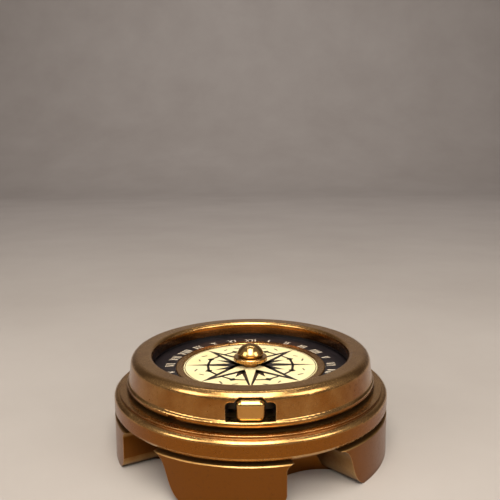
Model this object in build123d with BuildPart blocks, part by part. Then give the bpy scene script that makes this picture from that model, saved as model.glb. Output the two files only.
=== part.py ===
from build123d import *
import math
import os

# Pocket sundial in a round brass case, in millimetres. +Z is up, the origin is the centre of the
# footprint on the surface it stands on, and -Y is the front, where the catch button is.
# A notched foot carries a ring with the hour plate and the folding gnomon. A drum with the compass
# is hinged over them at the back and held shut by the catch.

# ---- driving dimensions ----
case_radius = 32.0            # outside of the ring and of the legs
leg_height = 9.2
ring_bottom = 10.15           # the ring sits on a neck, which leaves a dark seam over the legs
ring_top = 14.2               # outer flange of the ring
ledge_top = 14.75             # raised ledge round the drum
ledge_floor = 14.6            # where the drum stands just clear of the ring
drum_bottom = 15.5
rim_height = 22.3
rim_radius = 23.1             # mouth of the drum, over the dial
dial_height = 18.2            # top of the black dial ring

leg_count = 5
leg_step = 360 / leg_count
core_radius = 19.8            # the notches are scooped out as far as this
scoop_radius = 13.0
neck_radius = 30.2
notch_middle = 28.0           # degrees from the front, towards +X
# the notch between two legs: (degrees, height) along its edges
leg_shoulder = [(15.2, 9.2), (12.9, 8.4), (12.5, 7.0)]
leg_toe = [(12.5, 2.8), (11.0, 0.95), (5.5, 0.0)]
next_leg_edge = [(50.0, 0.0), (44.3, 0.9), (41.8, 3.0), (40.2, 5.5), (38.2, 8.0), (34.0, 9.2)]

dish_radius = 25.2            # room under the drum for the hour plate and the gnomon
dish_floor = 11.2
land_radius = 27.2
ledge_radius = 30.75
land_height = drum_bottom - 0.1
plate_thickness = 0.8
plate_top = dish_floor + plate_thickness

style_foot = -11.0            # the hour lines and the style start here on the meridian
latitude = 45.0
gnomon_pin_height = plate_top + 1.4
gnomon_pin_radius = 0.4
gnomon_thickness = 0.7
lug_gap = 10.0                # half the distance between the two lugs

floor_thickness = 1.0
floor_top = drum_bottom + floor_thickness
floor_radius = 27.25
cavity_outer = 26.4           # the catch works between the drum's wall and its inner lip
cavity_inner = 24.4
cavity_top = 21.5
lip_bottom = 19.1

card_radius = 15.9
card_thickness = 0.4
card_top = dial_height - 0.05
bezel_inner = 16.1
bezel_outer = 17.8
arbor_radius = 1.0
collar_radius = 4.0
collar_bottom = 19.35
collar_top = 20.45
dome_radius = 3.1
dome_top = 23.45

hinge_y = 29.9
hinge_z = 16.1
knuckle_radius = 1.1
hinge_pin_radius = 0.6
hinge_half = 5.6
drum_knuckle_half = 2.0

button_width = 5.7
button_height = 4.3
button_corner = 1.25
button_crown = 1.1            # rounding of the pad's front edges
button_face = 29.15           # distance of the crown's face from the centre
window_half = 4.95            # the window is low at its ends and rises over the button
window_bottom = 16.65
window_side = 20.4
window_top = 21.35
window_crown = 2.3
catch_z = 18.9
catch_travel = 0.9

running = 0.06                # radial clearance of a turning fit

os.makedirs("parts", exist_ok=True)


def finish(part, name):
    """Label a piece and write it under its own name."""
    part.label = name
    export_step(part, f"parts/{name}.step")


def out_at(angle, distance, height=0.0):
    """A plane that faces outwards: angle in degrees from the front, distance from the centre."""
    a = math.radians(angle)
    outwards = Vector(math.sin(a), -math.cos(a), 0)
    return Plane(
        origin=outwards * distance + Vector(0, 0, height),
        x_dir=(math.cos(a), math.sin(a), 0),
        z_dir=outwards,
    )


def ring_angles(count, start=0.0):
    """Equal steps round the case, in degrees from the front."""
    return [start + 360 / count * i for i in range(count)]


def round_spot(angle, radius):
    """A point on a circle round the middle, angle in degrees from the front."""
    a = math.radians(angle)
    return (radius * math.sin(a), -radius * math.cos(a))


# ---- foot: five thick legs round a core, with a neck that carries the ring ----

foot_relief_radius = 17.0
foot_relief_depth = 0.8
base_screw_circle = 24.5
base_screw_radius = 0.9
base_head_radius = 1.6
base_head_depth = 1.4
leg_middle = -9.0
base_spots = [round_spot(a, base_screw_circle) for a in ring_angles(leg_count, leg_middle)]


def notch_section(distance):
    """Outline of one foot notch where it is cut by a plane at this distance from the centre."""
    def across(angle):
        return distance * math.tan(math.radians(angle - notch_middle))

    def placed(points):
        return [(across(a), z) for a, z in points]

    shoulder, toe, next_edge = placed(leg_shoulder), placed(leg_toe), placed(next_leg_edge)
    below = -1.0
    with BuildSketch(out_at(notch_middle, distance)) as section:
        with BuildLine():
            Spline(*shoulder)
            Line(shoulder[-1], toe[0])
            Spline(*toe)
            Polyline(toe[-1], (toe[-1][0], below), (next_edge[0][0], below), next_edge[0])
            Spline(*next_edge)
            Line(next_edge[-1], shoulder[0])
        make_face()
    return section.sketch


scoop_reach = 20.0            # the scoop opens outwards past the legs

with BuildPart(mode=Mode.PRIVATE) as notch:
    add(notch_section(15))
    add(notch_section(36))
    loft(ruled=True)
    with BuildSketch(Plane.XY.offset(-2).rotated((0, 0, notch_middle))):
        with Locations((0, -core_radius - scoop_radius)):
            Circle(scoop_radius)
            Rectangle(2 * scoop_reach, scoop_reach, align=(Align.CENTER, Align.MAX))
    extrude(amount=15, mode=Mode.INTERSECT)

with BuildPart() as foot_base:
    Cylinder(case_radius, leg_height, align=(Align.CENTER, Align.CENTER, Align.MIN))
    chamfer(foot_base.edges().filter_by(GeomType.CIRCLE).group_by(Axis.Z)[-1], 0.2)
    with PolarLocations(0, leg_count):
        add(notch.part, mode=Mode.SUBTRACT)
    with BuildSketch(Plane.XY.offset(leg_height)):
        Circle(neck_radius)
    extrude(amount=ring_bottom - leg_height)
    with BuildSketch():
        Circle(foot_relief_radius)
    extrude(amount=foot_relief_depth, mode=Mode.SUBTRACT)
    with Locations(Plane.XY.rotated((180, 0, 0))):
        with Locations(*[(x, -y) for x, y in base_spots]):
            CounterBoreHole(base_screw_radius + 0.1, base_head_radius + 0.1, base_head_depth + 0.3,
                            depth=ring_bottom)
finish(foot_base.part, "foot_base")

# ---- ring: a moulded flange with a dish inside ----

keeper_half = 4.6
keeper_inner = 24.4
keeper_outer = 26.6
keeper_thickness = 1.0
keeper_screw_x = 3.4
keeper_screw_y = -25.75
keeper_screw_radius = 0.45
leaf_block_inner = 29.0
leaf_block_outer = 30.4
leaf_block_bottom = 13.6
plate_screw_circle = 23.4
plate_screw_radius = 0.5
plate_spots = [round_spot(a, plate_screw_circle) for a in ring_angles(3, 60)]

with BuildPart() as case_ring:
    with BuildSketch(Plane.XZ) as ring_section:
        with BuildLine():
            Polyline(
                (0, ring_bottom),
                (case_radius - 0.4, ring_bottom),
                (case_radius, ring_bottom + 0.65),
                (case_radius, ring_top),
                (ledge_radius, ring_top),
                (ledge_radius, ledge_top),
                (29.0, ledge_top),
                (29.0, ledge_floor),
                (land_radius, ledge_floor),
                (land_radius, land_height),
                (dish_radius, land_height),
                (dish_radius, dish_floor),
                (0, dish_floor),
                close=True,
            )
        make_face()
        fillet(ring_section.vertices().sort_by_distance((case_radius, ring_top))[0], 0.95)
    revolve(axis=Axis.Z)
    with Locations((0, -(keeper_inner + keeper_outer) / 2, land_height - keeper_thickness / 2)):
        Box(2 * keeper_half, keeper_outer - keeper_inner, keeper_thickness, mode=Mode.SUBTRACT)
    with Locations(*[(x, keeper_screw_y, land_height) for x in (-keeper_screw_x, keeper_screw_x)]):
        Hole(keeper_screw_radius, depth=3.4)
    for side in (-1, 1):
        leaf_half = (hinge_half - drum_knuckle_half - 0.1) / 2
        leaf_x = side * (hinge_half - leaf_half)
        with Locations((leaf_x, (leaf_block_inner + leaf_block_outer) / 2, leaf_block_bottom + 1)):
            Box(2 * leaf_half, leaf_block_outer - leaf_block_inner, 2, mode=Mode.SUBTRACT)
    with Locations(*[(x, y, ring_bottom) for x, y in base_spots]):
        Cylinder(base_screw_radius, 1.7, mode=Mode.SUBTRACT)
    with Locations(*[(x, y, dish_floor) for x, y in plate_spots]):
        Cylinder(plate_screw_radius, 1.6, mode=Mode.SUBTRACT)
finish(case_ring.part, "case_ring")

# ---- screws that hold the ring on the foot, from below ----

base_screw_top = ring_bottom + 0.8
base_head_face = 0.3          # the heads are sunk above the underside
base_driver_slot = (2 * base_head_radius, 0.45, 0.9)

with BuildPart() as base_screws:
    for radius, top in ((base_head_radius, base_head_face + base_head_depth),
                        (base_screw_radius, base_screw_top)):
        with BuildSketch(Plane.XY.offset(base_head_face)):
            with Locations(*base_spots):
                Circle(radius)
        extrude(amount=top - base_head_face)
    with Locations(*[(x, y, base_head_face) for x, y in base_spots]):
        Box(*base_driver_slot, mode=Mode.SUBTRACT)
finish(base_screws.part, "base_screws")

# ---- hour plate: lines that fan out from the foot of the style ----

line_width = 0.22
line_depth = 0.15
hour_ring_inner = 17.2
hour_ring_outer = 21.8
line_reach = 45.0


def hour_line_angle(hours):
    """Direction of an hour line from the meridian, in degrees, on a level plate."""
    if abs(hours) == 6:
        return math.copysign(90, hours)
    shadow = math.tan(math.radians(15 * hours))
    return math.degrees(math.atan(math.sin(math.radians(latitude)) * shadow))


with BuildPart() as hour_plate:
    with BuildSketch(Plane.XY.offset(dish_floor)):
        Circle(dish_radius - 0.1)
    extrude(amount=plate_thickness)
    with BuildSketch(Plane.XY.offset(plate_top)):
        with Locations((0, style_foot)):
            for hour in range(-6, 7):
                Rectangle(line_width, line_reach, rotation=-hour_line_angle(hour),
                          align=(Align.CENTER, Align.MIN))
        Circle(hour_ring_outer, mode=Mode.INTERSECT)
        Circle(hour_ring_inner, mode=Mode.SUBTRACT)
    extrude(amount=-line_depth, mode=Mode.SUBTRACT)
    with BuildSketch(Plane.XY.offset(plate_top)):
        for radius in (hour_ring_outer, hour_ring_inner):
            Circle(radius + line_width / 2)
            Circle(radius - line_width / 2, mode=Mode.SUBTRACT)
    extrude(amount=-line_depth, mode=Mode.SUBTRACT)
    with Locations(*[(x, y, plate_top) for x, y in plate_spots]):
        Hole(plate_screw_radius)
finish(hour_plate.part, "hour_plate")

plate_head_radius = 1.0
plate_head_height = 0.5
plate_screw_reach = 0.7       # how far the screws go into the ring
small_driver_slot = (2.2, 0.3, 0.5)

with BuildPart() as hour_plate_screws:
    with BuildSketch(Plane.XY.offset(plate_top)):
        with Locations(*plate_spots):
            Circle(plate_head_radius)
    extrude(amount=plate_head_height)
    fillet(hour_plate_screws.edges().group_by(Axis.Z)[-1], plate_head_height / 2)
    with BuildSketch(Plane.XY.offset(dish_floor - plate_screw_reach)):
        with Locations(*plate_spots):
            Circle(plate_screw_radius)
    extrude(amount=plate_thickness + plate_screw_reach)
    with Locations(*[(x, y, plate_top + plate_head_height) for x, y in plate_spots]):
        Box(*small_driver_slot, mode=Mode.SUBTRACT)
finish(hour_plate_screws.part, "hour_plate_screws")

# ---- gnomon: a plate that lies flat beside the meridian and stands up on its pin ----

lug_thickness = 1.1
lug_half_width = 1.0
lug_foot_half = 2.2

with BuildPart() as gnomon_lugs:
    for side in (-1, 1):
        with BuildSketch(Plane.XZ.offset(-side * lug_gap)):
            with BuildLine():
                Line((-lug_half_width, plate_top), (lug_half_width, plate_top))
                Line((lug_half_width, plate_top), (lug_half_width, gnomon_pin_height))
                RadiusArc((lug_half_width, gnomon_pin_height), (-lug_half_width, gnomon_pin_height),
                          -lug_half_width)
                Line((-lug_half_width, gnomon_pin_height), (-lug_half_width, plate_top))
            make_face()
            with Locations((0, gnomon_pin_height)):
                Circle(gnomon_pin_radius, mode=Mode.SUBTRACT)
        extrude(amount=-side * lug_thickness)
finish(gnomon_lugs.part, "gnomon_lugs")

with BuildPart() as gnomon_pin:
    pin_half = lug_gap + lug_thickness + 0.3
    with BuildSketch(Plane.XZ.offset(-pin_half)):
        with Locations((0, gnomon_pin_height)):
            Circle(gnomon_pin_radius)
    extrude(amount=2 * pin_half)
finish(gnomon_pin.part, "gnomon_pin")

barrel_radius = 0.75
barrel_half = lug_gap - 0.15
barrel_bore = gnomon_pin_radius + running
style_low = 2.2               # the style's height over its pin at the south lug
style_height = 12.5
style_south = -8.6
style_north = 9.2
style_back = (7.4, 8.9)

with BuildPart() as gnomon_plate:
    with BuildSketch(Plane.XY.offset(gnomon_pin_height - gnomon_thickness / 2)) as style_outline:
        with BuildLine():
            Polyline((0, style_south), (style_low, style_south), (style_height, 7.6), style_back,
                     (2.2, style_north), (0, style_north), close=True)
        make_face()
        with Locations((4.4, 3.9)):
            Circle(2.0, mode=Mode.SUBTRACT)
        with Locations((3.0, -2.2)):
            Circle(1.0, mode=Mode.SUBTRACT)
        fillet(style_outline.vertices().sort_by_distance(style_back)[0], 2.0)
    extrude(amount=gnomon_thickness)
    with BuildSketch(Plane.XZ.offset(-barrel_half)):
        with Locations((0, gnomon_pin_height)):
            Circle(barrel_radius)
    extrude(amount=2 * barrel_half)
    with BuildSketch(Plane.XZ.offset(-barrel_half)):
        with Locations((0, gnomon_pin_height)):
            Circle(barrel_bore)
    extrude(amount=2 * barrel_half, mode=Mode.SUBTRACT)
finish(gnomon_plate.part, "gnomon_plate")

# ---- catch keeper: a steel plate on the ring's land, with the hook under its edge ----

with BuildPart() as catch_keeper:
    with Locations((0, -(keeper_inner + keeper_outer) / 2, land_height - keeper_thickness / 2)):
        Box(2 * keeper_half, keeper_outer - keeper_inner, keeper_thickness)
    chamfer(catch_keeper.edges().group_by(Axis.Y)[-1].group_by(Axis.Z)[-1], 0.3)
    with Locations(*[(x, keeper_screw_y, land_height) for x in (-keeper_screw_x, keeper_screw_x)]):
        CounterSinkHole(keeper_screw_radius, 0.8, depth=keeper_thickness)
finish(catch_keeper.part, "catch_keeper")

with BuildPart() as keeper_screws:
    for x in (-keeper_screw_x, keeper_screw_x):
        with BuildSketch(Plane(origin=(x, keeper_screw_y, 0), x_dir=(1, 0, 0), z_dir=(0, -1, 0))):
            with BuildLine():
                Polyline((0, land_height - 2.9), (keeper_screw_radius, land_height - 2.9),
                         (keeper_screw_radius, land_height - 0.35), (0.75, land_height - 0.05),
                         (0, land_height - 0.05), close=True)
            make_face()
        revolve(axis=Axis((x, keeper_screw_y, 0), (0, 0, 1)))
finish(keeper_screws.part, "keeper_screws")

# ---- hinge: leaves with knuckles on the ring and on the drum, and one pin ----

with BuildPart() as hinge_base_leaf:
    for side in (-1, 1):
        inner_end = side * (drum_knuckle_half + 0.1)
        with BuildSketch(Plane.YZ.offset(inner_end)):
            with Locations((hinge_y, hinge_z)):
                Circle(knuckle_radius)
            with Locations(((leaf_block_inner + leaf_block_outer) / 2, leaf_block_bottom)):
                Rectangle(leaf_block_outer - leaf_block_inner, hinge_z - leaf_block_bottom,
                          align=(Align.CENTER, Align.MIN))
            with Locations((hinge_y, hinge_z)):
                Circle(hinge_pin_radius, mode=Mode.SUBTRACT)
        extrude(amount=side * (hinge_half - drum_knuckle_half - 0.1))
finish(hinge_base_leaf.part, "hinge_base_leaf")

with BuildPart() as hinge_pin:
    with BuildSketch(Plane.YZ.offset(-hinge_half - 0.3)):
        with Locations((hinge_y, hinge_z)):
            Circle(hinge_pin_radius)
    extrude(amount=2 * hinge_half + 0.6)
    chamfer(hinge_pin.edges().filter_by(GeomType.CIRCLE), 0.15)
finish(hinge_pin.part, "hinge_pin")

leaf_back = 27.8
leaf_front = 28.5
leaf_half_width = 5.0
leaf_low = 15.9
leaf_high = 20.0
leaf_screw_x = 3.4
leaf_screw_z = 18.6
leaf_screw_radius = 0.5

with BuildPart() as hinge_drum_leaf:
    with BuildSketch(Plane.XZ.offset(-leaf_back)):
        with Locations((0, leaf_low)):
            Rectangle(2 * leaf_half_width, leaf_high - leaf_low, align=(Align.CENTER, Align.MIN))
    extrude(amount=leaf_back - leaf_front)
    with BuildSketch(Plane.YZ.offset(-drum_knuckle_half)):
        with Locations((hinge_y, hinge_z)):
            Circle(knuckle_radius)
        with Locations((leaf_front - 0.2, leaf_low)):
            Rectangle(hinge_y - leaf_front + 0.2, 1.2, align=(Align.MIN, Align.MIN))
        with Locations((hinge_y, hinge_z)):
            Circle(hinge_pin_radius + 0.05, mode=Mode.SUBTRACT)
    extrude(amount=2 * drum_knuckle_half)
    with BuildSketch(Plane.XZ.offset(-leaf_back)):
        with Locations((-leaf_screw_x, leaf_screw_z), (leaf_screw_x, leaf_screw_z)):
            Circle(leaf_screw_radius)
    extrude(amount=leaf_back - leaf_front, mode=Mode.SUBTRACT)
finish(hinge_drum_leaf.part, "hinge_drum_leaf")

leaf_screw_end = cavity_outer + 0.3
leaf_head_radius = 0.95
leaf_head_height = 0.45

with BuildPart() as hinge_screws:
    with BuildSketch(Plane.XZ.offset(-leaf_screw_end)):
        with Locations((-leaf_screw_x, leaf_screw_z), (leaf_screw_x, leaf_screw_z)):
            Circle(leaf_screw_radius)
    extrude(amount=leaf_screw_end - leaf_front)
    with BuildSketch(Plane.XZ.offset(-leaf_front)):
        with Locations((-leaf_screw_x, leaf_screw_z), (leaf_screw_x, leaf_screw_z)):
            Circle(leaf_head_radius)
    extrude(amount=-leaf_head_height)
    fillet(hinge_screws.edges().group_by(Axis.Y)[-1], 0.2)
    with Locations((-leaf_screw_x, leaf_front + leaf_head_height, leaf_screw_z),
                   (leaf_screw_x, leaf_front + leaf_head_height, leaf_screw_z)):
        Box(2.2, 0.4, 0.28, mode=Mode.SUBTRACT)
finish(hinge_screws.part, "hinge_screws")

# ---- drum case: a spun shell with a rounded shoulder, a lip round the mouth and a button slot ----

boss_radius = 1.15
boss_circle = 25.65
boss_top = 19.0
boss_spots = [round_spot(a, boss_circle) for a in ring_angles(4, 45)]
floor_screw_radius = 0.5
nail_notch_angle = -33.0
nail_notch_radius = 1.9
drum_lip_foot = (28.8, drum_bottom)
drum_lip_low = (29.05, drum_bottom + 0.35)
drum_lip_high = (29.0, drum_bottom + 0.95)
drum_wall_foot = (28.55, drum_bottom + 1.3)
drum_shoulder = (27.9, rim_height)
drum_mouth = (rim_radius, rim_height)
shoulder_round = 1.8
mouth_round = 0.9
floor_clear = 0.05            # the floor drops into the case
window_rise = 0.9
window_low_corner = 0.3
window_high_corner = 0.9

with BuildPart() as drum_case:
    with BuildSketch(Plane.XZ) as drum_section:
        with BuildLine():
            Polyline(
                (floor_radius + floor_clear, drum_bottom),
                drum_lip_foot,
                drum_lip_low,
                drum_lip_high,
                drum_wall_foot,
                drum_shoulder,
                drum_mouth,
                (rim_radius, lip_bottom),
                (cavity_inner, lip_bottom),
                (cavity_inner, cavity_top),
                (cavity_outer, cavity_top),
                (cavity_outer, floor_top),
                (floor_radius + floor_clear, floor_top),
                close=True,
            )
        make_face()
        for corner, rounding in ((drum_shoulder, shoulder_round), (drum_lip_high, 0.3),
                                 (drum_wall_foot, 0.4), (drum_lip_low, 0.25),
                                 (drum_mouth, mouth_round)):
            fillet(drum_section.vertices().sort_by_distance(corner)[0], rounding)
    revolve(axis=Axis.Z)
    with BuildSketch(Plane.XY.offset(floor_top)):
        with Locations(*boss_spots):
            Circle(boss_radius)
    extrude(amount=boss_top - floor_top)
    with Locations(*[(x, y, floor_top) for x, y in boss_spots]):
        Cylinder(floor_screw_radius, 3.6, mode=Mode.SUBTRACT)
    with BuildSketch(Plane.XZ.offset(cavity_inner + 0.4)):
        with BuildLine() as window:
            Polyline((0, window_bottom), (window_half, window_bottom), (window_half, window_side),
                     (window_crown + window_rise, window_side), (window_crown, window_top),
                     (0, window_top))
            mirror(about=Plane.YZ)
        make_face()
        ends = window.vertices().filter_by(lambda v: abs(v.X) > window_half - 0.01)
        fillet(ends.group_by(Axis.Y)[0], window_low_corner)
        fillet(ends.group_by(Axis.Y)[-1], window_high_corner)
    extrude(amount=6, mode=Mode.SUBTRACT)
    with BuildSketch(Plane.XZ.offset(-leaf_back)):
        with Locations((0, leaf_low)):
            Rectangle(2 * leaf_half_width, leaf_high - leaf_low, align=(Align.CENTER, Align.MIN))
    extrude(amount=-3, mode=Mode.SUBTRACT)
    with BuildSketch(Plane.YZ.offset(-hinge_half - 0.3)):
        with Locations((hinge_y, hinge_z)):
            Circle(knuckle_radius + 0.3)
    extrude(amount=2 * hinge_half + 0.6, mode=Mode.SUBTRACT)
    with BuildSketch(Plane.XZ.offset(-leaf_screw_end)):
        with Locations((-leaf_screw_x, leaf_screw_z), (leaf_screw_x, leaf_screw_z)):
            Circle(leaf_screw_radius)
    extrude(amount=-3, mode=Mode.SUBTRACT)
    with BuildSketch(out_at(nail_notch_angle, 28.1)):
        with Locations((0, drum_bottom - 1.1)):
            Circle(nail_notch_radius)
    extrude(amount=2, mode=Mode.SUBTRACT)
finish(drum_case.part, "drum_case")

# ---- drum floor, its screws, and the arbor in its middle ----

hook_half = 1.5
hook_front = -24.2
hook_back = -23.4
hook_slot_front = -24.25
guide_half = 3.6
guide_front = -21.9
guide_back = -19.4
guide_screw_x = 2.9
guide_screw_radius = 0.3
post_x = 3.9
post_y = -17.45
post_radius = 0.4
arbor_flange_radius = 2.2
arbor_thread = 0.75           # how far the arbor reaches into the cap
floor_head_radius = 1.0
floor_screw_length = 2.7
hook_slot_half = hook_half + 0.3
hook_slot_back = hook_back + catch_travel + 0.2

with BuildPart() as drum_floor:
    with BuildSketch(Plane.XY.offset(drum_bottom)):
        Circle(floor_radius)
    extrude(amount=floor_thickness)
    with Locations(*[(x, y, drum_bottom) for x, y in boss_spots]):
        Cylinder(floor_screw_radius, 4, mode=Mode.SUBTRACT)
        Cylinder(floor_head_radius + 0.05, 1.0, mode=Mode.SUBTRACT)
    with Locations((0, (hook_slot_front + hook_slot_back) / 2, drum_bottom)):
        Box(2 * hook_slot_half, hook_slot_back - hook_slot_front, 4, mode=Mode.SUBTRACT)
    with Locations((0, 0, drum_bottom)):
        Cylinder(arbor_radius, 4, mode=Mode.SUBTRACT)
    with Locations((-post_x, post_y, floor_top), (post_x, post_y, floor_top)):
        Hole(post_radius, depth=floor_thickness - 0.1)
    with Locations(*[(x, (guide_front + guide_back) / 2, floor_top)
                     for x in (-guide_screw_x, guide_screw_x)]):
        Hole(guide_screw_radius, depth=floor_thickness - 0.1)
finish(drum_floor.part, "drum_floor")

with BuildPart() as floor_screws:
    for radius, reach in ((floor_head_radius, 0.48), (floor_screw_radius, floor_screw_length)):
        with BuildSketch(Plane.XY.offset(drum_bottom + 0.02)):
            with Locations(*boss_spots):
                Circle(radius)
        extrude(amount=reach)
    with Locations(*[(x, y, drum_bottom) for x, y in boss_spots]):
        Box(*small_driver_slot, mode=Mode.SUBTRACT)
finish(floor_screws.part, "floor_screws")

with BuildPart() as arbor:
    with BuildSketch(Plane.XY.offset(drum_bottom)):
        Circle(arbor_radius)
    extrude(amount=collar_top + arbor_thread - drum_bottom)
    with BuildSketch(Plane.XY.offset(floor_top)):
        Circle(arbor_flange_radius)
    extrude(amount=0.45)
    chamfer(arbor.edges().filter_by(GeomType.CIRCLE).group_by(Axis.Z)[-1], 0.2)
finish(arbor.part, "arbor")

# ---- dial: spacer, black ring with an upstand, and the brass bezel round the card ----

spacer_inner = 22.6
dial_thickness = 0.8
dial_bottom = dial_height - dial_thickness
upstand_inner = 24.0
bezel_top = dial_height + 0.3
flange_outer = bezel_outer + 1.0
flange_bottom = dial_bottom - 0.35

with BuildPart() as dial_spacer:
    with BuildSketch(Plane.XY.offset(floor_top)):
        Circle(cavity_inner)
        Circle(spacer_inner, mode=Mode.SUBTRACT)
        with Locations((0, -cavity_inner)):
            Rectangle(9, 6, mode=Mode.SUBTRACT)
    extrude(amount=dial_bottom - floor_top)
finish(dial_spacer.part, "dial_spacer")

with BuildPart() as dial_ring:
    with BuildSketch(Plane.XZ):
        with BuildLine():
            Polyline((bezel_outer, dial_bottom), (cavity_inner, dial_bottom), (cavity_inner, lip_bottom),
                     (upstand_inner, lip_bottom), (upstand_inner, dial_height),
                     (bezel_outer, dial_height), close=True)
        make_face()
    revolve(axis=Axis.Z)
finish(dial_ring.part, "dial_ring")

with BuildPart() as card_bezel:
    with BuildSketch(Plane.XZ) as bezel_section:
        with BuildLine():
            Polyline((bezel_inner, flange_bottom), (flange_outer, flange_bottom),
                     (flange_outer, dial_bottom), (bezel_outer, dial_bottom),
                     (bezel_outer, bezel_top), (bezel_inner, bezel_top), close=True)
        make_face()
        for radius in (bezel_inner, bezel_outer):
            fillet(bezel_section.vertices().sort_by_distance((radius, bezel_top))[0], 0.3)
    revolve(axis=Axis.Z)
finish(card_bezel.part, "card_bezel")

# ---- compass card: card, collar and two bar magnets, turning on the arbor under a domed cap ----

collar_neck_radius = 2.0
collar_bore = arbor_radius + running
collar_foot = card_top - card_thickness - 0.25
magnet_size = (1.4, 20.0, 0.8)
magnet_offset = 4.2
magnet_middle = card_top - card_thickness - magnet_size[2] / 2

with BuildPart() as rose_card:
    with BuildSketch(Plane.XY.offset(card_top - card_thickness)):
        Circle(card_radius)
        Circle(collar_neck_radius, mode=Mode.SUBTRACT)
    extrude(amount=card_thickness)
finish(rose_card.part, "rose_card")

with BuildPart() as hub_collar:
    with BuildSketch(Plane.XZ) as collar_section:
        with BuildLine():
            Polyline((collar_bore, collar_foot), (collar_neck_radius, collar_foot),
                     (collar_neck_radius, collar_bottom - 0.5), (collar_radius - 0.4, collar_bottom),
                     (collar_radius, collar_bottom + 0.2), (collar_radius, collar_top - 0.2),
                     (collar_radius - 0.2, collar_top), (collar_bore, collar_top), close=True)
        make_face()
    revolve(axis=Axis.Z)
finish(hub_collar.part, "hub_collar")

with BuildPart() as bar_magnets:
    with Locations((-magnet_offset, 0, magnet_middle), (magnet_offset, 0, magnet_middle)):
        Box(*magnet_size)
finish(bar_magnets.part, "bar_magnets")

cap_bottom = collar_top + 0.1
cap_side = 0.6
cap_foot_radius = dome_radius - 0.25
cap_thread_depth = 0.7
dome_rise = dome_top - cap_bottom - cap_side
dome_sphere = (dome_radius**2 + dome_rise**2) / (2 * dome_rise)

with BuildPart() as hub_cap:
    with BuildSketch(Plane.XZ):
        with BuildLine():
            Line((0, dome_top), (0, cap_bottom + cap_thread_depth))
            Line((0, cap_bottom + cap_thread_depth), (arbor_radius, cap_bottom + cap_thread_depth))
            Line((arbor_radius, cap_bottom + cap_thread_depth), (arbor_radius, cap_bottom))
            Line((arbor_radius, cap_bottom), (cap_foot_radius, cap_bottom))
            Line((cap_foot_radius, cap_bottom), (dome_radius, cap_bottom + cap_side))
            RadiusArc((dome_radius, cap_bottom + cap_side), (0, dome_top), -dome_sphere)
        make_face()
    revolve(axis=Axis.Z)
finish(hub_cap.part, "hub_cap")

# ---- catch: a crowned button on a steel slide with a hook, its guide and a bow spring ----

slide_front = -26.1
slide_back = -25.4
slide_low = floor_top + 0.1
slide_high = 20.9
slide_width = 5.2
slide_foot_width = 4.0
foot_top = slide_low + 0.4
foot_end = -19.2
toe_end = -25.0
toe_top = land_height - keeper_thickness - 0.2
toe_bottom = toe_top - 0.9
guide_clear = 0.1

with BuildPart() as catch_button:
    with BuildSketch(Plane.XZ.offset(-slide_front)):
        with Locations((0, catch_z)):
            RectangleRounded(button_width, button_height, button_corner)
    extrude(amount=button_face + slide_front)
    fillet(catch_button.edges().group_by(Axis.Y)[0], button_crown)
finish(catch_button.part, "catch_button")

with BuildPart() as catch_slide:
    with Locations((0, (slide_front + slide_back) / 2, (slide_low + slide_high) / 2)):
        Box(slide_width, slide_back - slide_front, slide_high - slide_low)
    with Locations((0, (slide_back + foot_end) / 2, (slide_low + foot_top) / 2)):
        Box(slide_foot_width, foot_end - slide_back, foot_top - slide_low)
    with Locations((0, (hook_front + hook_back) / 2, (toe_bottom + slide_low) / 2)):
        Box(2 * hook_half, hook_back - hook_front, slide_low - toe_bottom)
    with Locations((0, (toe_end + hook_front) / 2, (toe_bottom + toe_top) / 2)):
        Box(2 * hook_half, hook_front - toe_end, toe_top - toe_bottom)
    chamfer(catch_slide.edges().group_by(Axis.Y)[0].group_by(Axis.Z)[0], 0.1)
finish(catch_slide.part, "catch_slide")

guide_channel_half = slide_foot_width / 2 + guide_clear
guide_top = dial_bottom - 0.05

with BuildPart() as catch_guide:
    with BuildSketch(Plane.XZ.offset(-guide_front)):
        with Locations((0, floor_top)):
            Rectangle(2 * guide_half, guide_top - floor_top, align=(Align.CENTER, Align.MIN))
            Rectangle(2 * guide_channel_half, foot_top + guide_clear - floor_top,
                      align=(Align.CENTER, Align.MIN), mode=Mode.SUBTRACT)
    extrude(amount=guide_front - guide_back)
    with Locations(*[(x, (guide_front + guide_back) / 2, guide_top)
                     for x in (-guide_screw_x, guide_screw_x)]):
        CounterSinkHole(guide_screw_radius, 0.6, depth=3)
finish(catch_guide.part, "catch_guide")

with BuildPart() as guide_screws:
    for x in (-guide_screw_x, guide_screw_x):
        guide_middle = (guide_front + guide_back) / 2
        with BuildSketch(Plane(origin=(x, guide_middle, 0), x_dir=(1, 0, 0), z_dir=(0, -1, 0))):
            with BuildLine():
                Polyline((0, drum_bottom + 0.1), (guide_screw_radius, drum_bottom + 0.1),
                         (guide_screw_radius, guide_top - 0.3), (0.55, guide_top - 0.05),
                         (0, guide_top - 0.05), close=True)
            make_face()
        revolve(axis=Axis((x, guide_middle, 0), (0, 0, 1)))
finish(guide_screws.part, "guide_screws")

with BuildPart() as spring_posts:
    with BuildSketch(Plane.XY.offset(drum_bottom + 0.1)):
        with Locations((-post_x, post_y), (post_x, post_y)):
            Circle(post_radius)
    extrude(amount=foot_top - drum_bottom - 0.1)
finish(spring_posts.part, "spring_posts")

# the bow is drawn as it lies when the button is pressed, which leaves the slide its travel
bow_half = 4.2
bow_tip = -18.1
bow_middle = foot_end + catch_travel + 0.05
bow_thickness = 0.15

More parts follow.
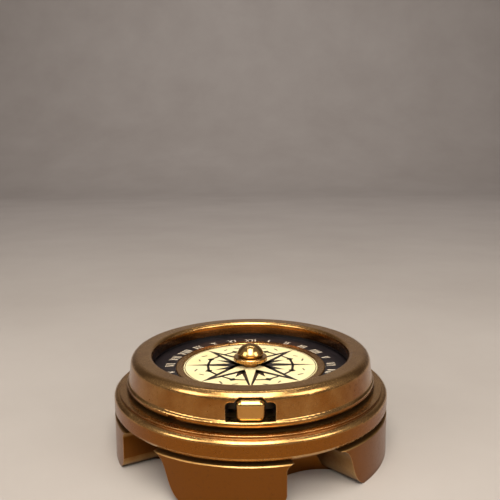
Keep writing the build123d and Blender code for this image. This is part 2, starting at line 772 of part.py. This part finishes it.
with BuildPart() as catch_spring:
    with BuildSketch(Plane.XY.offset(slide_low)):
        with BuildLine():
            ThreePointArc((-bow_half, bow_tip), (0, bow_middle), (bow_half, bow_tip))
            Line((bow_half, bow_tip), (bow_half, bow_tip + bow_thickness))
            ThreePointArc((bow_half, bow_tip + bow_thickness), (0, bow_middle + bow_thickness),
                          (-bow_half, bow_tip + bow_thickness))
            Line((-bow_half, bow_tip + bow_thickness), (-bow_half, bow_tip))
        make_face()
    extrude(amount=foot_top - slide_low)
finish(catch_spring.part, "catch_spring")

# ---- gnomon spring: a few turns round the barrel, with a leg under the plate ----

spring_wire = 0.14
spring_turns = 3
spring_pitch = 2 * spring_wire + 0.04
spring_radius = barrel_radius + 0.05 + spring_wire
spring_start = -barrel_half + 0.05

with BuildPart() as gnomon_spring:
    with BuildLine():
        coil = Helix(spring_pitch, spring_pitch * spring_turns, spring_radius,
                     center=(0, spring_start, gnomon_pin_height), direction=(0, 1, 0))
    with BuildSketch(Plane(origin=coil @ 0, z_dir=coil % 0)):
        Circle(spring_wire)
    sweep(path=coil, is_frenet=True)
finish(gnomon_spring.part, "gnomon_spring")
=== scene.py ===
import math

import bmesh
import bpy
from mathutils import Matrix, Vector


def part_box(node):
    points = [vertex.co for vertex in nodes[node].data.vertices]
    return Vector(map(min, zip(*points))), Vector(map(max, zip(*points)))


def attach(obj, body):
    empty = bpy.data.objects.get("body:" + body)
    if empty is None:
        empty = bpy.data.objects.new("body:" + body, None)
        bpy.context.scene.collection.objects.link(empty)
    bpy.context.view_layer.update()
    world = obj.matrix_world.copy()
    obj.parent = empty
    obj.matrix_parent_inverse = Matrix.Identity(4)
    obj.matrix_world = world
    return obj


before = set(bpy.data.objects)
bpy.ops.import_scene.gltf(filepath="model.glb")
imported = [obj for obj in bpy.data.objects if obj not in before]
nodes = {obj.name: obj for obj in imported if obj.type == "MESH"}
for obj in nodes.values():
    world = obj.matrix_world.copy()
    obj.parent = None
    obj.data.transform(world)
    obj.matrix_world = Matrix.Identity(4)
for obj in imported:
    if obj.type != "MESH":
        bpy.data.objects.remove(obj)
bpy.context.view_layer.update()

MM = 0.001


# ---- driving places, all read from the frame ----

def span(node, axis):
    """Lowest and highest value of a CAD node along an axis, in metres."""
    low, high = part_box(node)
    return low[axis], high[axis]


case_radius = span("case_ring", 0)[1]
card_top = span("rose_card", 2)[1]
card_radius = span("rose_card", 0)[1]
hub_radius = span("hub_collar", 0)[1]
plate_top = span("hour_plate", 2)[1]
dial_top = card_top + 0.05 * MM


# ---- meshes ----

def new_object(name, bm, smooth=False):
    """A bmesh made into an object in the scene."""
    mesh = bpy.data.meshes.new(name)
    bm.to_mesh(mesh)
    bm.free()
    for face in mesh.polygons:
        face.use_smooth = smooth
    piece = bpy.data.objects.new(name, mesh)
    bpy.context.scene.collection.objects.link(piece)
    return piece


def add_prism(bm, outline, low, high):
    """A closed flat piece with this outline, between two heights. The outline runs anticlockwise."""
    under = [bm.verts.new((x, y, low)) for x, y in outline]
    over = [bm.verts.new((x, y, high)) for x, y in outline]
    bm.faces.new(over)
    bm.faces.new(list(reversed(under)))
    count = len(outline)
    for i in range(count):
        j = (i + 1) % count
        bm.faces.new((under[i], under[j], over[j], over[i]))


def add_band(bm, inner, outer, low, high, steps=180):
    """A closed flat ring between two radii and two heights."""
    rows = []
    for radius, height in ((inner, low), (outer, low), (outer, high), (inner, high)):
        turn = [2 * math.pi * i / steps for i in range(steps)]
        rows.append([bm.verts.new((radius * math.cos(a), radius * math.sin(a), height)) for a in turn])
    for k in range(4):
        a, b = rows[k], rows[(k + 1) % 4]
        for i in range(steps):
            j = (i + 1) % steps
            bm.faces.new((a[i], a[j], b[j], b[i]))


def turned(points, angle):
    """Points turned about the middle, angle in radians."""
    c, s = math.cos(angle), math.sin(angle)
    return [(x * c - y * s, x * s + y * c) for x, y in points]


# ---- node helpers ----

class Shader:
    """A small wrapper that adds nodes to one material."""

    def __init__(self, name):
        self.material = bpy.data.materials.new(name)
        self.material.use_nodes = True
        self.tree = self.material.node_tree
        self.surface = self.tree.nodes["Principled BSDF"]

    def node(self, kind, **settings):
        made = self.tree.nodes.new(kind)
        for key, value in settings.items():
            setattr(made, key, value)
        return made

    def link(self, source, target):
        self.tree.links.new(source, target)

    def math(self, operation, a, b=None, clamp=False):
        made = self.node("ShaderNodeMath", operation=operation, use_clamp=clamp)
        for socket, value in zip(made.inputs, (a, b)):
            if value is None:
                continue
            if isinstance(value, (int, float)):
                socket.default_value = value
            else:
                self.link(value, socket)
        return made.outputs[0]

    def ramp(self, source, stops):
        made = self.node("ShaderNodeValToRGB")
        elements = made.color_ramp.elements
        while len(elements) < len(stops):
            elements.new(0.5)
        for element, (place, value) in zip(elements, stops):
            element.position = place
            element.color = (*value, 1) if isinstance(value, tuple) else (value, value, value, 1)
        self.link(source, made.inputs["Fac"])
        return made.outputs["Color"]

    def mix(self, factor, a, b, blend="MIX"):
        made = self.node("ShaderNodeMix", data_type="RGBA", blend_type=blend)
        for socket, value in ((made.inputs[0], factor), (made.inputs[6], a), (made.inputs[7], b)):
            if isinstance(value, tuple):
                socket.default_value = (*value, 1)
            elif isinstance(value, (int, float)):
                socket.default_value = value
            else:
                self.link(value, socket)
        return made.outputs[2]

    def place(self):
        """The point on the piece in millimetres."""
        coords = self.node("ShaderNodeTexCoord")
        scaled = self.node("ShaderNodeVectorMath", operation="SCALE")
        self.link(coords.outputs["Object"], scaled.inputs[0])
        scaled.inputs["Scale"].default_value = 1000
        return scaled.outputs[0]

    def stretch(self, place, factors):
        made = self.node("ShaderNodeVectorMath", operation="MULTIPLY")
        self.link(place, made.inputs[0])
        made.inputs[1].default_value = factors
        return made.outputs[0]

    def noise(self, place, scale, detail=4.0, roughness=0.55):
        made = self.node("ShaderNodeTexNoise")
        self.link(place, made.inputs["Vector"])
        made.inputs["Scale"].default_value = scale
        made.inputs["Detail"].default_value = detail
        made.inputs["Roughness"].default_value = roughness
        return made.outputs["Fac"]

    def round_place(self, place):
        """(distance from the axis, 0, height), for patterns that run round the case like turning marks,
        then the distance and the height by themselves."""
        parts = self.node("ShaderNodeSeparateXYZ")
        self.link(place, parts.inputs[0])
        x, y, z = parts.outputs
        squares = self.math("ADD", self.math("MULTIPLY", x, x), self.math("MULTIPLY", y, y))
        out = self.math("SQRT", squares)
        joined = self.node("ShaderNodeCombineXYZ")
        self.link(out, joined.inputs[0])
        self.link(z, joined.inputs[2])
        return joined.outputs[0], out, z


# ---- materials ----

EDGE_ROUND = 0.22 * MM        # how far the wear of an edge reaches
RECESS_REACH = 1.6 * MM       # how far the painted shade in a corner reaches


def brass(name, bright, deep, dark, roughness, turned_marks=True, bands=()):
    """Old polished brass: patina, turning marks, small scratches, worn edges, painted shade in recesses.

    Faces that look up are painted brighter, and the upright walls deeper and redder, as painted light
    and shade.
    A band is a (from, to) of radius, a (from, to) of height in mm, a tone and how strongly it covers;
    the bands paint shade over hidden inner places."""
    s = Shader(name)
    place = s.place()
    around, out, height = s.round_place(place)
    patches = s.ramp(s.noise(place, 0.16, 6, 0.6), [(0.36, 0.0), (0.66, 1.0)])
    specks = s.ramp(s.noise(place, 1.9, 6, 0.7), [(0.56, 0.0), (0.72, 1.0)])

    rounded = s.node("ShaderNodeBevel", samples=6)
    rounded.inputs["Radius"].default_value = EDGE_ROUND
    facing = s.node("ShaderNodeNewGeometry")
    coords = s.node("ShaderNodeTexCoord")
    upright = s.node("ShaderNodeSeparateXYZ")
    s.link(coords.outputs["Normal"], upright.inputs[0])
    level = s.math("ABSOLUTE", upright.outputs["Z"])
    # painted light and shade: faces that look up are painted brighter, upright walls deeper and redder
    painted_top_light = s.ramp(s.math("ADD", level, s.math("MULTIPLY", patches, -0.10)), [(0.0, 0.0), (0.38, 1.0)])
    colour = s.mix(painted_top_light, deep, bright)
    colour = s.mix(s.math("MULTIPLY", patches, 0.35), colour, deep)
    colour = s.mix(s.math("MULTIPLY", specks, 0.42), colour, dark)
    agree = s.node("ShaderNodeVectorMath", operation="DOT_PRODUCT")
    s.link(rounded.outputs[0], agree.inputs[0])
    s.link(facing.outputs["Normal"], agree.inputs[1])
    edge = s.ramp(agree.outputs["Value"], [(0.86, 1.0), (0.985, 0.0)])
    # painted shade: recesses found by ambient occlusion are darkened towards the dark tone and made
    # rougher
    recess = s.node("ShaderNodeAmbientOcclusion", samples=8)
    recess.inputs["Distance"].default_value = RECESS_REACH
    painted_recess_shade = s.ramp(recess.outputs["AO"], [(0.25, 1.0), (0.8, 0.0)])
    wear = s.math("MULTIPLY", edge, s.math("SUBTRACT", 1.0, painted_recess_shade), clamp=True)
    worn_metal = tuple(min(1.0, c * 1.18 + 0.05) for c in bright)
    colour = s.mix(s.math("MULTIPLY", wear, 0.75), colour, worn_metal)
    colour = s.mix(s.math("MULTIPLY", painted_recess_shade, 0.85), colour, dark)
    # painted shade: each band darkens a hidden inner place, chosen by radius and height
    for (r0, r1), (z0, z1), tone, cover in bands:
        inside = s.math("MULTIPLY", s.math("GREATER_THAN", out, r0), s.math("LESS_THAN", out, r1))
        between = s.math("MULTIPLY", s.math("GREATER_THAN", height, z0), s.math("LESS_THAN", height, z1))
        painted_shade_band = s.math("MULTIPLY", inside, between)
        colour = s.mix(s.math("MULTIPLY", painted_shade_band, cover), colour, tone)
    s.link(colour, s.surface.inputs["Base Color"])
    s.surface.inputs["Metallic"].default_value = 1.0
    s.surface.inputs["Coat Weight"].default_value = 0.2
    s.surface.inputs["Coat Roughness"].default_value = 0.16

    scratch = s.ramp(s.noise(s.stretch(place, (9.0, 0.7, 3.0)), 1.3, 3, 0.6), [(0.60, 0.0), (0.68, 1.0)])
    scuffs = s.noise(place, 0.7, 5, 0.65)
    rough = s.math("ADD", roughness - 0.09, s.math("MULTIPLY", scuffs, 0.18))
    rough = s.math("ADD", rough, s.math("MULTIPLY", specks, 0.14))
    rough = s.math("ADD", rough, s.math("MULTIPLY", scratch, 0.10))
    rough = s.math("ADD", rough, s.math("MULTIPLY", painted_recess_shade, 0.25), clamp=True)
    s.link(rough, s.surface.inputs["Roughness"])

    relief = s.math("ADD", s.math("MULTIPLY", s.noise(place, 2.2, 5, 0.6), 0.55),
                    s.math("MULTIPLY", scratch, -0.25))
    if turned_marks:
        rings = s.noise(s.stretch(around, (7.0, 1.0, 7.0)), 1.0, 2, 0.5)
        relief = s.math("ADD", relief, s.math("MULTIPLY", rings, 0.35))
    bump = s.node("ShaderNodeBump")
    bump.inputs["Strength"].default_value = 0.16
    bump.inputs["Distance"].default_value = 0.08 * MM
    s.link(relief, bump.inputs["Height"])
    s.link(rounded.outputs[0], bump.inputs["Normal"])
    s.link(bump.outputs[0], s.surface.inputs["Normal"])
    return s.material


def blued_steel():
    s = Shader("blued steel")
    place = s.place()
    tone = s.noise(place, 1.2, 5, 0.6)
    colour = s.ramp(tone, [(0.3, (0.05, 0.06, 0.09)), (0.55, (0.10, 0.12, 0.17)),
                           (0.8, (0.20, 0.16, 0.12))])
    s.link(colour, s.surface.inputs["Base Color"])
    s.surface.inputs["Metallic"].default_value = 1.0
    grain = s.noise(s.stretch(place, (14.0, 1.0, 14.0)), 1.0, 3, 0.5)
    s.link(s.math("ADD", 0.22, s.math("MULTIPLY", grain, 0.25)), s.surface.inputs["Roughness"])
    bump = s.node("ShaderNodeBump")
    bump.inputs["Strength"].default_value = 0.15
    bump.inputs["Distance"].default_value = 0.02 * MM
    s.link(grain, bump.inputs["Height"])
    s.link(bump.outputs[0], s.surface.inputs["Normal"])
    return s.material


def black_lacquer():
    """Old black lacquer: nearly black with a brown cast, dust and fine wear."""
    s = Shader("black lacquer")
    place = s.place()
    worn = s.noise(place, 0.8, 6, 0.65)
    colour = s.ramp(worn, [(0.35, (0.006, 0.005, 0.006)), (0.62, (0.016, 0.012, 0.014)),
                           (0.8, (0.05, 0.035, 0.03))])
    s.link(colour, s.surface.inputs["Base Color"])
    s.surface.inputs["Specular IOR Level"].default_value = 0.45
    dust = s.noise(place, 3.5, 4, 0.6)
    s.link(s.math("ADD", 0.26, s.math("MULTIPLY", dust, 0.25)), s.surface.inputs["Roughness"])
    bump = s.node("ShaderNodeBump")
    bump.inputs["Strength"].default_value = 0.12
    bump.inputs["Distance"].default_value = 0.03 * MM
    s.link(s.noise(place, 2.5, 5, 0.6), bump.inputs["Height"])
    s.link(bump.outputs[0], s.surface.inputs["Normal"])
    return s.material


def printed(name, light, aged, stain, roughness):
    """Lacquered print or paint that has yellowed and stained unevenly."""
    s = Shader(name)
    place = s.place()
    yellow = s.ramp(s.noise(place, 0.22, 5, 0.6), [(0.3, 0.0), (0.7, 1.0)])
    foxing = s.ramp(s.noise(place, 1.6, 6, 0.7), [(0.60, 0.0), (0.75, 1.0)])
    colour = s.mix(yellow, light, aged)
    colour = s.mix(s.math("MULTIPLY", foxing, 0.35), colour, stain)
    s.link(colour, s.surface.inputs["Base Color"])
    fibre = s.noise(place, 5.0, 4, 0.6)
    s.link(s.math("ADD", roughness, s.math("MULTIPLY", fibre, 0.2)), s.surface.inputs["Roughness"])
    bump = s.node("ShaderNodeBump")
    bump.inputs["Strength"].default_value = 0.1
    bump.inputs["Distance"].default_value = 0.03 * MM
    s.link(fibre, bump.inputs["Height"])
    s.link(bump.outputs[0], s.surface.inputs["Normal"])
    return s.material


GOLD = (0.62, 0.37, 0.13)
AMBER = (0.25, 0.082, 0.006)
UMBER = (0.08, 0.035, 0.012)
# painted shadow black and painted shade brown, for the drum's hidden inner places
PAINTED_SHADOW_BLACK = (0.012, 0.008, 0.005)
PAINTED_SHADE_BROWN = (0.06, 0.028, 0.010)

case_brass = brass("case brass", GOLD, AMBER, UMBER, 0.24)
drum_brass = brass("drum brass", GOLD, AMBER, UMBER, 0.22,
                   bands=[((23.9, 26.6), (16.4, 21.6), PAINTED_SHADOW_BLACK, 1.0),      # painted shadow inside the catch's room
                          ((22.9, 23.2), (19.0, 20.9), PAINTED_SHADE_BROWN, 0.8)])   # painted shade on the mouth's inner wall
foot_brass = brass("foot brass", (0.46, 0.27, 0.09), (0.20, 0.066, 0.006), UMBER, 0.32,
                   turned_marks=False)
hub_brass = brass("hub brass", (0.66, 0.42, 0.15), (0.50, 0.24, 0.06), UMBER, 0.18)
plate_brass = brass("plate brass", (0.66, 0.46, 0.22), (0.56, 0.33, 0.12), UMBER, 0.30)
screw_brass = brass("screw brass", (0.56, 0.36, 0.14), (0.42, 0.22, 0.07), UMBER, 0.28,
                    turned_marks=False)
steel = blued_steel()
lacquer = black_lacquer()
card_paint = printed("card print", (0.82, 0.73, 0.45), (0.76, 0.63, 0.32), (0.45, 0.25, 0.10), 0.35)
ink = printed("black ink", (0.010, 0.008, 0.008), (0.020, 0.013, 0.010), (0.09, 0.05, 0.03), 0.35)
ivory = printed("ivory paint", (0.82, 0.75, 0.62), (0.70, 0.58, 0.42), (0.35, 0.22, 0.12), 0.40)


def paint(material, *names):
    """Gives CAD nodes a material."""
    for name in names:
        mesh = nodes[name].data
        mesh.materials.clear()
        mesh.materials.append(material)


paint(case_brass, "case_ring", "card_bezel", "hinge_base_leaf", "hinge_drum_leaf")
paint(drum_brass, "drum_case")
paint(foot_brass, "foot_base")
paint(hub_brass, "hub_cap", "hub_collar", "catch_button")
paint(plate_brass, "hour_plate", "gnomon_plate", "gnomon_lugs", "drum_floor", "catch_guide", "arbor")
paint(screw_brass, "base_screws", "hour_plate_screws", "hinge_screws", "floor_screws", "keeper_screws",
      "guide_screws")
paint(steel, "gnomon_pin", "hinge_pin", "catch_keeper", "catch_slide", "catch_spring", "spring_posts",
      "gnomon_spring", "bar_magnets")
paint(lacquer, "dial_ring", "dial_spacer")
paint(card_paint, "rose_card")


# ---- compass rose, printed in two layers on the card ----

PRINT = 0.012 * MM
rose_root = hub_radius * 0.5
rose_waist = hub_radius * 0.8
short_mark = card_radius * 0.56
knot_mark = card_radius * 0.66
border_mark = card_radius * 0.975
main_half = 2.5 * MM          # half widths: long points, the two across, short points, and their parts
across_half = 1.25 * MM
short_half = 1.4 * MM
chord_half = 0.30 * MM
knot_half = 0.95 * MM
light_main_half = 1.3 * MM
light_side_half = 1.35 * MM


def spear(reach, half):
    """One point of the rose towards -Y: narrow at the root, widest at the waist, sharp at the tip."""
    root = half * 0.6
    return [(0, -reach), (half, -rose_waist), (root, -rose_root), (-root, -rose_root),
            (-half, -rose_waist)]


def bar(x0, y0, x1, y1, half):
    """A straight bar between two places, half its width to each side."""
    run = math.hypot(x1 - x0, y1 - y0)
    ux, uy = (x1 - x0) / run * half, (y1 - y0) / run * half
    return [(x0 - uy, y0 + ux), (x0 + uy, y0 - ux), (x1 + uy, y1 - ux), (x1 - uy, y1 + ux)]


def diamond(y, half):
    """A small lozenge on the -Y line."""
    return [(0, y - half), (half, y), (0, y + half), (-half, y)]


def rose_layer(name, material, level, figures, bands=()):
    """One printed layer: figures repeated round the card, and thin circles."""
    bm = bmesh.new()
    low = card_top + PRINT * level - PRINT * 0.8
    high = card_top + PRINT * (level + 1)
    for outline, count, start in figures:
        for i in range(count):
            add_prism(bm, turned(outline, math.radians(start + 360 * i / count)), low, high)
    for inner, outer in bands:
        add_band(bm, inner, outer, low, high)
    bmesh.ops.recalc_face_normals(bm, faces=bm.faces)
    piece = new_object(name, bm)
    piece.data.materials.append(material)
    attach(piece, "compass_card")
    return piece


def chord(side):
    """From a knot to the next long point, towards +X or -X of the -Y line."""
    knot = turned([(0, -knot_mark)], math.radians(22.5 * side))[0]
    ends = (*knot, 0, -knot_mark * 0.97)
    return bar(*ends, chord_half) if side > 0 else bar(*ends[2:], *ends[:2], chord_half)


rose_layer("rose_ink", ink, 0,
           [(spear(border_mark, main_half), 2, 0),
            (spear(border_mark, across_half), 2, 90),
            (spear(border_mark, main_half), 4, 45),
            (spear(short_mark, short_half), 8, 22.5),
            (chord(1), 8, 0),
            (chord(-1), 8, 0),
            (diamond(-knot_mark, knot_half), 8, 22.5),
            (bar(-0.7 * MM, -knot_mark * 1.22, 0.6 * MM, -knot_mark * 1.30, 0.20 * MM), 8, 15.5),
            (bar(-0.5 * MM, -knot_mark * 1.26, 0.6 * MM, -knot_mark * 1.20, 0.17 * MM), 8, 29.5)],
           [(border_mark, border_mark + 0.20 * MM)])
rose_layer("rose_light", card_paint, 1,
           [(spear(border_mark * 0.88, light_main_half), 2, 0),
            (spear(border_mark * 0.72, light_side_half), 4, 45)])


# ---- numerals, made of strokes ----

def stroke(x0, y0, x1, y1, half):
    """A straight stroke with flat ends between two heights."""
    return [(x0 - half, y0), (x0 + half, y0), (x1 + half, y1), (x1 - half, y1)]


def serif(x, y, half, thick):
    """A short level bar."""
    return [(x - half, y), (x + half, y), (x + half, y + thick), (x - half, y + thick)]


LETTER_WIDTH = {"I": 0.34, "V": 0.78, "X": 0.80}      # over the letter's height
STROKE_WIDTHS = (0.058, 0.032, 0.05)                  # half thick, half thin, and serif height


def letter(kind, x, tall, weight):
    """Strokes of one Roman letter, starting at x. A heavier weight has thicker strokes."""
    w = LETTER_WIDTH[kind] * tall
    thick, thin, slab = (part * weight * tall for part in STROKE_WIDTHS)
    mid = x + w / 2
    if kind == "I":
        return [stroke(mid, 0, mid, tall, thick), serif(mid, 0, w * 0.42, slab),
                serif(mid, tall - slab, w * 0.42, slab)]
    left, right = x + 0.16 * tall, x + w - 0.14 * tall
    if kind == "V":
        return [stroke(mid, 0, left, tall, thick), stroke(mid, 0, right, tall, thin),
                serif(left, tall - slab, 0.17 * tall, slab),
                serif(right, tall - slab, 0.13 * tall, slab)]
    return [stroke(right, 0, left, tall, thick), stroke(left, 0, right, tall, thin),
            serif(left, 0, 0.14 * tall, slab), serif(right, 0, 0.16 * tall, slab),
            serif(left, tall - slab, 0.16 * tall, slab), serif(right, tall - slab, 0.14 * tall, slab)]


def numeral(text, tall, weight):
    """All strokes of a Roman numeral, centred on x = 0."""
    gap = 0.04 * tall
    width = sum(LETTER_WIDTH[c] * tall + gap for c in text) - gap
    x, strokes = -width / 2, []
    for c in text:
        strokes += letter(c, x, tall, weight)
        x += LETTER_WIDTH[c] * tall + gap
    return strokes


numeral_height = 2.1 * MM
numeral_foot = card_radius + 2.25 * MM

HOURS = ["I", "II", "III", "IIII", "V", "VI", "VII", "VIII", "IX", "X", "XI", "XII"]


def numeral_ring(name, texts, angles, radius, tall, weight, level, body, material, thickness):
    """Numerals round a dial with their tops outwards, in one piece."""
    bm = bmesh.new()
    for text, angle in zip(texts, angles):
        for outline in numeral(text, tall, weight):
            placed = [(x, y + radius) for x, y in outline]
            outline = turned(placed, math.radians(angle))
            add_prism(bm, outline, level - thickness * 0.5, level + thickness)
    bmesh.ops.recalc_face_normals(bm, faces=bm.faces)
    piece = new_object(name, bm)
    piece.data.materials.append(material)
    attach(piece, body)
    return piece


numeral_ring("dial_numerals", HOURS * 2, [-15.0 * (i + 1) for i in range(24)], numeral_foot,
             numeral_height, 1.0, dial_top, "drum", ivory, 0.02 * MM)


# the hours on the plate, just inside the ends of its cut lines: six at each side, noon at the back
PLATE_HOURS = ["VI", "VII", "VIII", "IX", "X", "XI", "XII", "I", "II", "III", "IIII", "V", "VI"]
latitude = math.radians(45)
style_foot = -11.0 * MM
hour_ring_inner = 17.2 * MM
plate_numeral_height = 2.0 * MM


def hour_direction(hours):
    """Direction of an hour line from noon, in radians, anticlockwise towards the morning."""
    if abs(hours) == 6:
        return -math.copysign(math.pi / 2, hours)
    return -math.atan(math.sin(latitude) * math.tan(math.radians(15 * hours)))


def on_circle(direction, radius):
    """Angle round the plate at which a line from the style's foot meets a circle."""
    x, y = -math.sin(direction), math.cos(direction)
    along = -y * style_foot + math.sqrt(radius ** 2 - (x * style_foot) ** 2)
    return math.atan2(style_foot + y * along, x * along) - math.pi / 2


numeral_ring("plate_numerals", PLATE_HOURS,
             [math.degrees(on_circle(hour_direction(i - 6), hour_ring_inner)) for i in range(13)],
             hour_ring_inner - plate_numeral_height - 0.5 * MM, plate_numeral_height, 1.6,
             plate_top, "base", ink, 0.015 * MM)


# ---- stage, lights and camera ----

def stage_floor():
    """A pale floor that curves up into a backdrop far behind."""
    bm = bmesh.new()
    wide, near, far, bend = 4.0, -4.0, 1.0, 0.5
    profile = [(near, 0.0), (far, 0.0)]
    for i in range(1, 13):
        a = math.pi / 2 * i / 12
        profile.append((far + bend * math.sin(a), bend * (1 - math.cos(a))))
    profile.append((far + bend, 2.2))
    rows = [[bm.verts.new((x, y, z)) for x in (-wide, wide)] for y, z in profile]
    for a, b in zip(rows, rows[1:]):
        bm.faces.new((a[0], a[1], b[1], b[0]))
    floor = new_object("floor", bm, smooth=True)
    s = Shader("pale floor")
    tone = s.noise(s.place(), 0.01, 5, 0.6)
    colour = s.ramp(tone, [(0.3, (0.33, 0.30, 0.28)), (0.7, (0.37, 0.34, 0.32))])
    s.link(colour, s.surface.inputs["Base Color"])
    s.surface.inputs["Roughness"].default_value = 0.7
    floor.data.materials.append(s.material)


def soft_light(name, place, aim, width, depth, power, colour=(1, 1, 1)):
    """An area light at a place, turned to its aim."""
    lamp = bpy.data.lights.new(name, "AREA")
    lamp.shape = "RECTANGLE"
    lamp.size, lamp.size_y = width, depth
    lamp.energy = power
    lamp.color = colour
    holder = bpy.data.objects.new(name, lamp)
    holder.location = place
    holder.rotation_euler = (Vector(aim) - Vector(place)).to_track_quat("-Z", "Y").to_euler()
    bpy.context.scene.collection.objects.link(holder)


stage_floor()
middle = (0, 0, 0.012)
soft_light("key", (0.0, -0.22, 0.36), middle, 0.24, 0.42, 2.7, (1.0, 0.95, 0.84))
soft_light("front", (0, -0.50, 0.50), middle, 1.00, 0.30, 1.1, (1.0, 0.93, 0.84))
for side in (-1, 1):
    soft_light("side" + str(side + 2), (side * 0.50, -0.34, 0.36), middle, 0.30, 0.30, 1.5,
               (1.0, 0.92, 0.84))
soft_light("backdrop", (0.0, 0.40, 1.0), (0, 1.4, 0.4), 0.8, 0.3, 7.0, (1.0, 0.96, 0.93))

world = bpy.data.worlds.new("studio")
world.use_nodes = True
bpy.context.scene.world = world
world.node_tree.nodes["Background"].inputs[0].default_value = (0.20, 0.17, 0.16, 1)
world.node_tree.nodes["Background"].inputs[1].default_value = 1.0
bpy.context.scene.view_settings.view_transform = "Standard"

camera_place = (0.0078, -4.315, 2.084)    # in case radii
camera_dip = 8.54                         # degrees below level
camera_roll = 0.42

lens = bpy.data.cameras.new("camera")
lens.lens = 43.2
lens.sensor_width = 36
lens.clip_start = 0.01
camera = bpy.data.objects.new("camera", lens)
camera.location = tuple(part * case_radius for part in camera_place)
camera.rotation_euler = (math.radians(90 - camera_dip), math.radians(camera_roll), 0)
bpy.context.scene.collection.objects.link(camera)
bpy.context.scene.camera = camera
